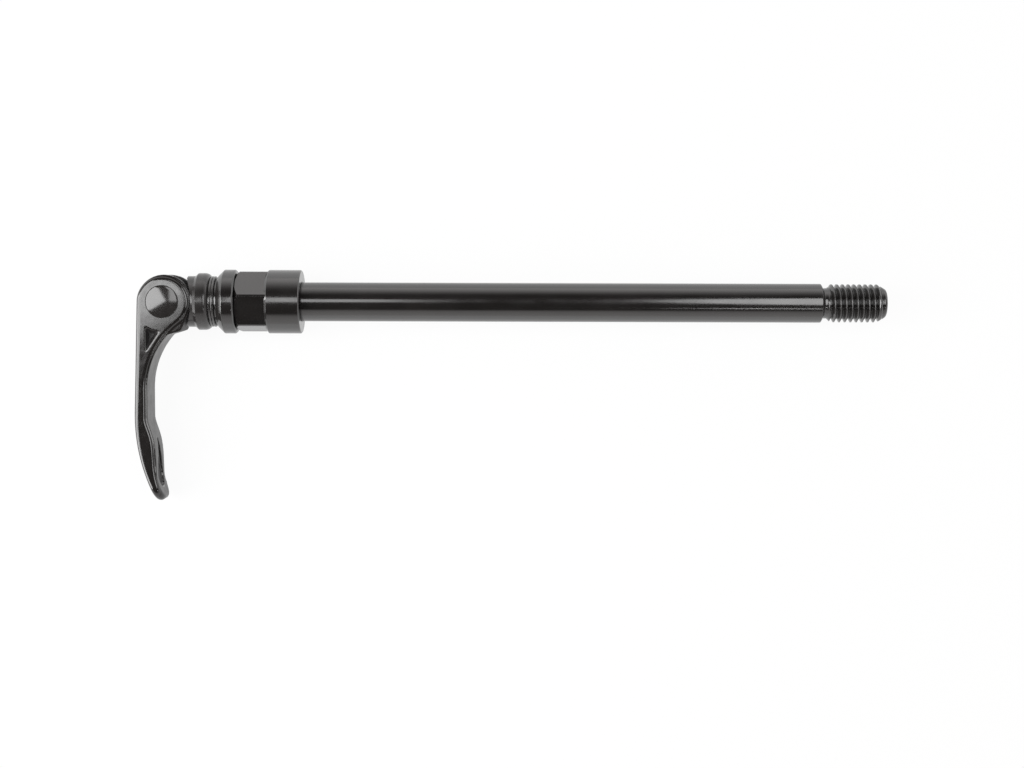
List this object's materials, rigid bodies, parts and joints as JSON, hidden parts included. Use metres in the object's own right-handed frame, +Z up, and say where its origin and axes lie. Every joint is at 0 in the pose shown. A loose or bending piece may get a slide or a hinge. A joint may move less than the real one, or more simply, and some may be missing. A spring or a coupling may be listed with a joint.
{
  "type": "bicycle thru axle",
  "caption": "Bicycle thru axle: a round shank threaded at one end, with a folding cam lever, cup, washers, flanged sleeve and hexagonal adjusting nut at the other.",
  "frame": {"origin": "on the axle's axis, in the plane of the collar's end face, which meets the frame", "axes": "+X along the axle towards its threaded end, +Z up as it lies, the closed lever towards -Y"},
  "size_m": [0.2309, 0.0714, 0.0196],
  "materials": {
    "black_anodised": "gloss black anodised, turned and polished",
    "lever_black": "gloss black anodised over a smooth forging",
    "pin_steel": "dark steel with a turned end face",
    "washer_steel": "black plated steel",
    "cup_plastic": "satin black moulded plastic",
    "seal_rubber": "matt black rubber"
  },
  "bodies": {
    "axle": {"axle_shaft": "black_anodised", "draw_stud": "pin_steel", "barrel_pin": "pin_steel"},
    "lever": {"lever": "lever_black"},
    "cup": {"cam_cup": "cup_plastic", "cup_washer": "washer_steel"},
    "sleeve": {"sleeve_washer": "washer_steel", "flanged_sleeve": "black_anodised"},
    "seal": {"seal_ring": "seal_rubber"},
    "nut": {"adjusting_nut": "black_anodised"}
  },
  "joints": [
    {"name": "lever_pivot", "type": "hinge", "parent": "axle", "child": "lever", "pos_m": [-0.0421, 0, 0], "axis": [0, 0.0602, -0.9982], "range_deg": [0, 160]},
    {"name": "cup_slide", "type": "slide", "parent": "axle", "child": "cup", "axis": [-1, 0, 0], "range_m": [0, 0.00079]},
    {"name": "sleeve_swivel", "type": "hinge", "parent": "cup", "child": "sleeve", "pos_m": [-0.024, 0, 0], "axis": [1, 0, 0], "continuous": true},
    {"name": "nut_travel", "type": "slide", "parent": "sleeve", "child": "seal", "axis": [1, 0, 0], "range_m": [0, 0.006]},
    {"name": "nut_turn", "type": "hinge", "parent": "seal", "child": "nut", "pos_m": [-0.007, 0, 0], "axis": [1, 0, 0], "range_deg": [0, 2160]}
  ],
  "couplings": [
    {"joint": "cup_slide", "follows": "lever_pivot", "m_per_rad": 0.00028},
    {"joint": "nut_travel", "follows": "nut_turn", "m_per_rad": 0.00015915}
  ]
}
